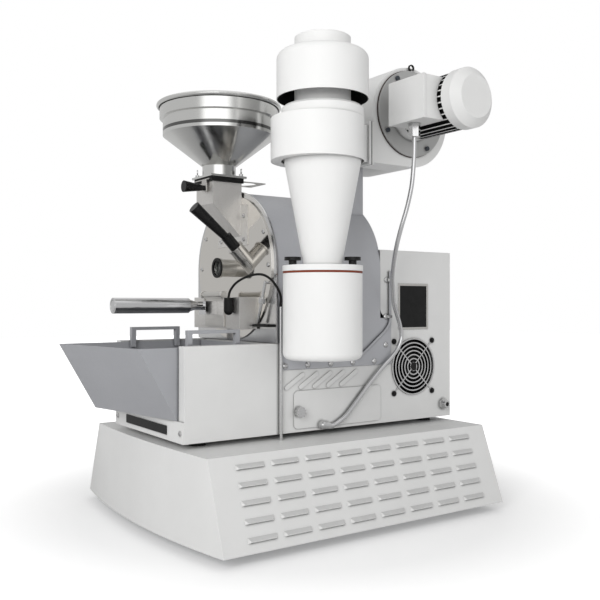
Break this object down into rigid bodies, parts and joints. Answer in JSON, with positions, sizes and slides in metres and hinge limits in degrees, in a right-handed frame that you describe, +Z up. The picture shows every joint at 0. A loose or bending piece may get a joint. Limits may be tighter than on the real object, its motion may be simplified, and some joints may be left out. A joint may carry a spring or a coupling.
{
  "type": "coffee roaster",
  "caption": "Drum coffee roaster on a louvred base cabinet, with hopper, sampler, discharge door, sliding cooling tray, and a side cyclone fed by a blower.",
  "frame": {"origin": "centre of the four foot holes, on the bench under the feet", "axes": "+Z up, -Y towards the front with hopper and tray, +X towards the side that carries the cyclone"},
  "size_m": [0.6351, 0.7549, 0.895],
  "materials": {
    "light_powder": "light grey satin powder coat",
    "white_powder": "off-white satin powder coat",
    "grey_powder": "mid grey satin powder coat",
    "brushed_stainless": "brushed",
    "mirror_stainless": "polished to a mirror",
    "satin_stainless": "satin",
    "chromed_steel": "polished",
    "spun_aluminium": "spun and polished",
    "impeller_aluminium": "cast",
    "black_bakelite": "semi-gloss",
    "black_plastic": "matt",
    "black_wire": "satin black",
    "foot_rubber": "matt",
    "cable_rubber": "satin",
    "seal_silicone": "matt",
    "sight_glass": "clear",
    "zinc_steel": "zinc plated",
    "drum_steel": "rolled, plain",
    "gear_steel": "machined",
    "bearing_steel": "ground",
    "heater_sheath": "heat-tinted sheath",
    "motor_enamel": "dark enamel",
    "plate_black": "printed black, bare"
  },
  "bodies": {
    "machine": {"rubber_feet": "foot_rubber", "base_cabinet": "light_powder", "base_pan": "zinc_steel", "chassis_frame": "zinc_steel", "cooling_box": "light_powder", "front_strip": "light_powder", "side_panel_right": "light_powder", "side_panel_left": "light_powder", "rear_cover": "light_powder", "service_hatch": "light_powder", "fan_frame": "black_plastic", "fan_grille": "black_wire", "rating_plate": "plate_black", "cable_glands": "satin_stainless", "drum_cover": "grey_powder", "roast_chamber": "zinc_steel", "face_ring": "satin_stainless", "front_plate": "mirror_stainless", "sight_tube": "brushed_stainless", "sight_glass": "sight_glass", "feed_chute": "brushed_stainless", "hopper": "spun_aluminium", "sampler_tube": "brushed_stainless", "door_box": "brushed_stainless", "probe_cable": "cable_rubber", "conduit_post": "satin_stainless", "vent_rod": "satin_stainless", "heater_rods": "heater_sheath", "drum_bearings": "bearing_steel", "gearmotor": "motor_enamel", "exhaust_duct": "grey_powder", "blower_case": "white_powder", "gaskets": "seal_silicone", "blower_motor": "white_powder", "motor_cap": "white_powder", "terminal_box": "white_powder", "motor_conduit": "satin_stainless", "cyclone_body": "white_powder", "cyclone_hood": "white_powder", "cyclone_inlet": "white_powder", "panel_screws": "satin_stainless", "capillary_tube": "satin_stainless", "control_panel": "grey_powder"},
    "tray": {"cooling_tray": "grey_powder"},
    "gate": {"feed_gate": "brushed_stainless", "gate_knob": "black_bakelite"},
    "trier": {"sampler": "brushed_stainless"},
    "door": {"discharge_door": "brushed_stainless", "door_handle": "chromed_steel"},
    "can": {"chaff_can": "white_powder"},
    "front_can_screw": {"can_knob_front": "black_bakelite"},
    "rear_can_screw": {"can_knob_rear": "black_bakelite"},
    "hatch_thumb": {"hatch_screw": "satin_stainless"},
    "blower_wheel": {"impeller": "impeller_aluminium"},
    "cabinet_fan": {"fan_rotor": "black_plastic"},
    "drum_unit": {"drum": "drum_steel", "drum_gear": "gear_steel"},
    "drive_pinion": {"pinion": "gear_steel"},
    "dial": {"control_knob": "black_bakelite"},
    "rocker": {"power_switch": "black_bakelite"}
  },
  "joints": [
    {"name": "tray_slide", "type": "slide", "parent": "machine", "child": "tray", "axis": [0, -1, 0], "range_m": [0, 0.2]},
    {"name": "gate_slide", "type": "slide", "parent": "machine", "child": "gate", "axis": [0, -1, 0], "range_m": [0, 0.055]},
    {"name": "sampler_slide", "type": "slide", "parent": "machine", "child": "trier", "axis": [0, -0.7071, 0.7071], "range_m": [0, 0.09]},
    {"name": "door_hinge", "type": "hinge", "parent": "machine", "child": "door", "pos_m": [0, -0.178, 0.43], "axis": [-1, 0, 0], "range_deg": [0, 60]},
    {"name": "can_drop", "type": "slide", "parent": "machine", "child": "can", "axis": [0, 0, -1], "range_m": [0, 0.09]},
    {"name": "front_can_screw_turn", "type": "hinge", "parent": "machine", "child": "front_can_screw", "pos_m": [0.21004, -0.13511, 0.485], "axis": [0, 0, 1], "continuous": true},
    {"name": "rear_can_screw_turn", "type": "hinge", "parent": "machine", "child": "rear_can_screw", "pos_m": [0.26996, -0.04889, 0.485], "axis": [0, 0, 1], "continuous": true},
    {"name": "hatch_screw_turn", "type": "hinge", "parent": "machine", "child": "hatch_thumb", "pos_m": [0.152, -0.082, 0.213], "axis": [1, 0, 0], "continuous": true},
    {"name": "blower_spin", "type": "hinge", "parent": "machine", "child": "blower_wheel", "pos_m": [0.15, 0.182, 0.795], "axis": [1, 0, 0], "continuous": true},
    {"name": "cabinet_fan_spin", "type": "hinge", "parent": "machine", "child": "cabinet_fan", "pos_m": [0.12, 0.2065, 0.2835], "axis": [1, 0, 0], "continuous": true},
    {"name": "drum_spin", "type": "hinge", "parent": "machine", "child": "drum_unit", "pos_m": [0, 0, 0.48], "axis": [0, 1, 0], "continuous": true},
    {"name": "pinion_spin", "type": "hinge", "parent": "machine", "child": "drive_pinion", "pos_m": [0, 0.183, 0.4269], "axis": [0, 1, 0], "continuous": true},
    {"name": "dial_turn", "type": "hinge", "parent": "machine", "child": "dial", "pos_m": [-0.16, 0.232, 0.3607], "axis": [-1, 0, 0], "range_deg": [0, 270]},
    {"name": "switch_rock", "type": "hinge", "parent": "machine", "child": "rocker", "pos_m": [-0.1544, 0.232, 0.3187], "axis": [0, -1, 0], "range_deg": [0, 14]}
  ],
  "couplings": [
    {"joint": "pinion_spin", "follows": "drum_spin", "ratio": -2}
  ]
}
